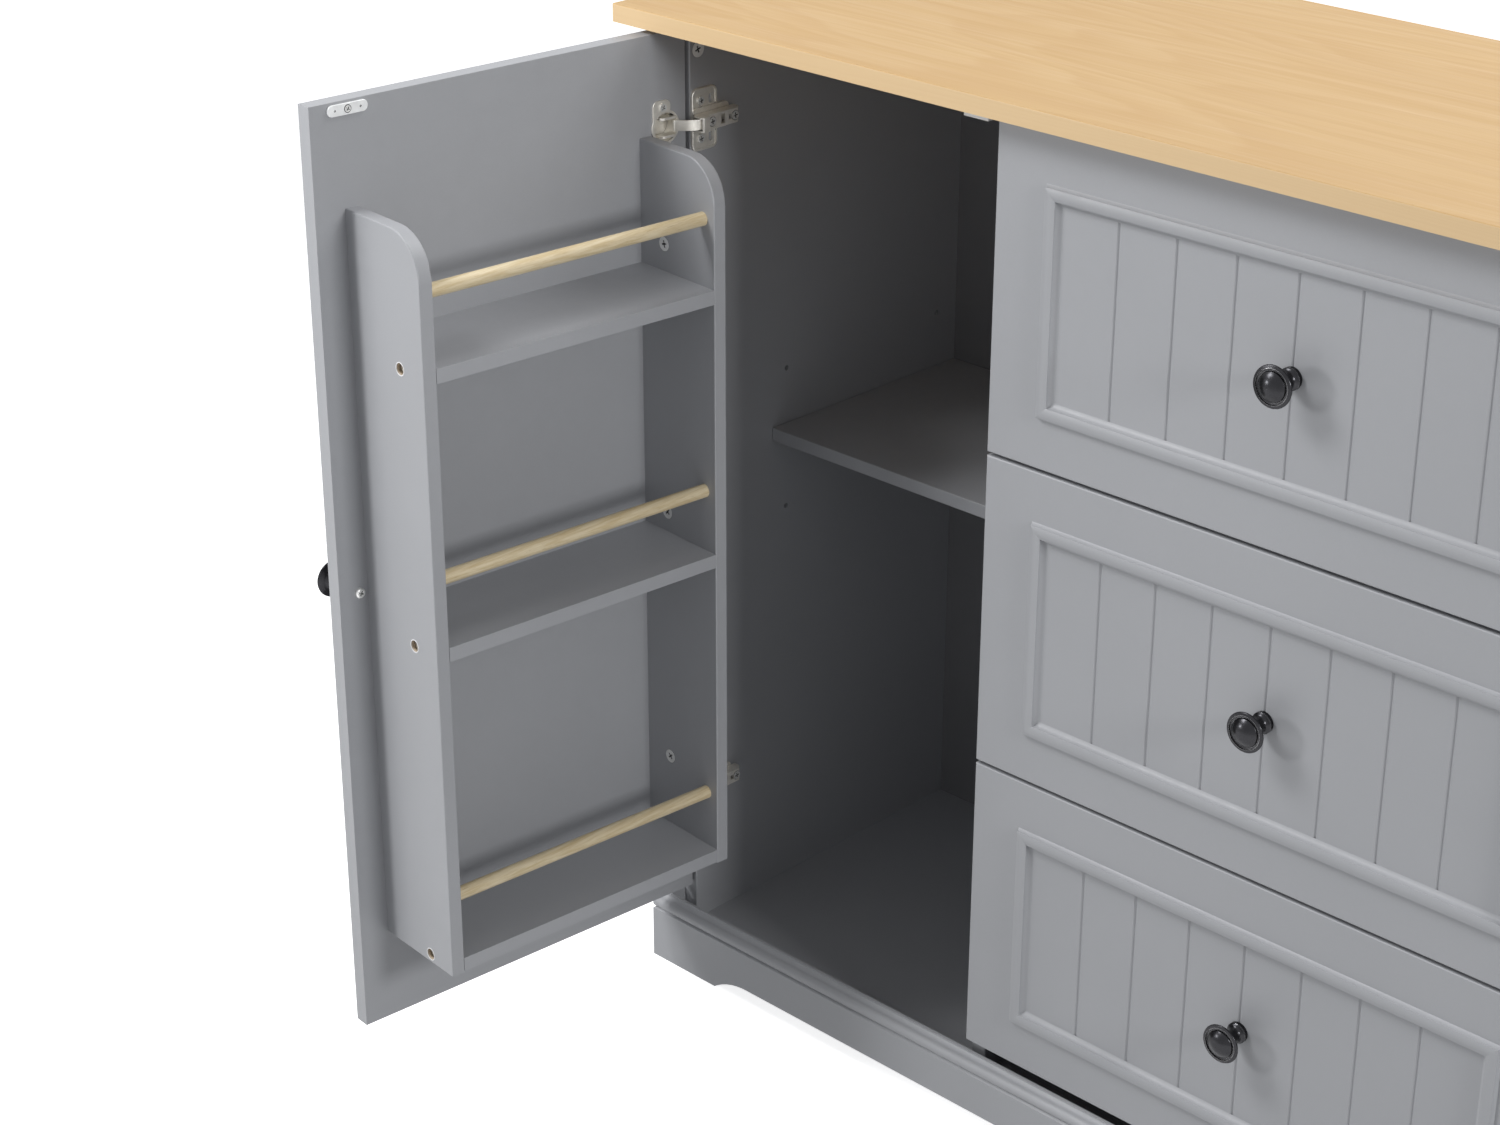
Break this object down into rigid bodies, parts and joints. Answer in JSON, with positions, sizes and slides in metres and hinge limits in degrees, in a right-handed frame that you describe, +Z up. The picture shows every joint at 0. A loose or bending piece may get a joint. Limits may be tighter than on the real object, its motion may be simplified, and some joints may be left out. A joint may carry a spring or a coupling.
{
  "type": "pantry cabinet",
  "caption": "Low pantry cabinet with a framed door that carries a spice rack, a shelved compartment, a column of drawers, a moulded plinth and a wooden worktop.",
  "frame": {"origin": "on the floor, under the middle of the plinth's footprint, at the underside of the centre foot", "axes": "+X along the width from the door towards the drawers, +Y from the fronts towards the back, +Z up"},
  "size_m": [0.984, 0.7193, 0.894],
  "materials": {
    "grey_paint": "satin grey paint on fibreboard",
    "worktop_wood": "light wood grain, satin",
    "bare_board": "thin grey board, matt",
    "drawer_wood": "grey foil on fibreboard",
    "pale_wood": "light bamboo, satin",
    "dark_knob": "black nickel, polished",
    "nickel_plate": "nickel plated",
    "runner_steel": "zinc plated",
    "zinc_screw": "zinc plated",
    "strike_zinc": "bright zinc",
    "white_plastic": "moulded",
    "bronze_screw": "bronzed",
    "black_plastic": "moulded"
  },
  "bodies": {
    "cabinet": {"adjustable_shelf": "grey_paint", "back_panel": "bare_board", "bottom_panel": "grey_paint", "cam_bolts": "zinc_screw", "cam_locks": "white_plastic", "catch_poles": "strike_zinc", "catch_screws": "zinc_screw", "centre_foot": "black_plastic", "divider_panel": "grey_paint", "drawer_runners": "runner_steel", "foot_glides": "black_plastic", "hinge_arm_screws": "zinc_screw", "hinge_arms": "nickel_plate", "hinge_link_pins": "nickel_plate", "hinge_plate_screws": "zinc_screw", "hinge_plates": "nickel_plate", "magnetic_catch": "white_plastic", "plinth_back": "bare_board", "plinth_corner_blocks": "bare_board", "plinth_front": "grey_paint", "plinth_left": "grey_paint", "plinth_right": "grey_paint", "shelf_pins": "nickel_plate", "side_panel_left": "grey_paint", "side_panel_right": "grey_paint", "worktop": "worktop_wood"},
    "door": {"door_panel": "grey_paint", "door_knob": "dark_knob", "door_knob_screw": "zinc_screw", "rack_side_hinge": "grey_paint", "rack_side_free": "grey_paint", "rack_shelf_top": "grey_paint", "rack_shelf_middle": "grey_paint", "rack_shelf_bottom": "grey_paint", "rack_rails": "pale_wood", "rack_cam_locks": "white_plastic", "rack_screws": "bronze_screw", "hinge_cups": "nickel_plate", "hinge_cup_screws": "zinc_screw", "strike_plate": "strike_zinc", "strike_plate_screw": "zinc_screw"},
    "hinge_link_pair": {"hinge_links": "nickel_plate"},
    "drawer_top": {"drawer_front_top": "grey_paint", "drawer_box_top": "drawer_wood", "drawer_base_top": "drawer_wood", "drawer_knob_top": "dark_knob", "drawer_knob_screw_top": "zinc_screw", "drawer_slides_top": "runner_steel"},
    "drawer_middle": {"drawer_front_middle": "grey_paint", "drawer_box_middle": "drawer_wood", "drawer_base_middle": "drawer_wood", "drawer_knob_middle": "dark_knob", "drawer_knob_screw_middle": "zinc_screw", "drawer_slides_middle": "runner_steel"},
    "drawer_bottom": {"drawer_front_bottom": "grey_paint", "drawer_box_bottom": "drawer_wood", "drawer_base_bottom": "drawer_wood", "drawer_knob_bottom": "dark_knob", "drawer_knob_screw_bottom": "zinc_screw", "drawer_slides_bottom": "runner_steel"}
  },
  "joints": [
    {"name": "door_hinge", "type": "hinge", "parent": "cabinet", "child": "door", "pos_m": [-0.441, -0.1692, 0.4745], "axis": [0, 0, 1], "range_deg": [0, 95]},
    {"name": "hinge_link_turn", "type": "hinge", "parent": "cabinet", "child": "hinge_link_pair", "pos_m": [-0.4187, -0.1545, 0.48675], "axis": [0, 0, -1], "range_deg": [0, 9.1]},
    {"name": "drawer_slide_top", "type": "slide", "parent": "cabinet", "child": "drawer_top", "axis": [0, -1, 0], "range_m": [0, 0.22]},
    {"name": "drawer_slide_middle", "type": "slide", "parent": "cabinet", "child": "drawer_middle", "axis": [0, -1, 0], "range_m": [0, 0.22]},
    {"name": "drawer_slide_bottom", "type": "slide", "parent": "cabinet", "child": "drawer_bottom", "axis": [0, -1, 0], "range_m": [0, 0.22]}
  ],
  "couplings": [
    {"joint": "hinge_link_turn", "follows": "door_hinge", "ratio": 0.095}
  ]
}
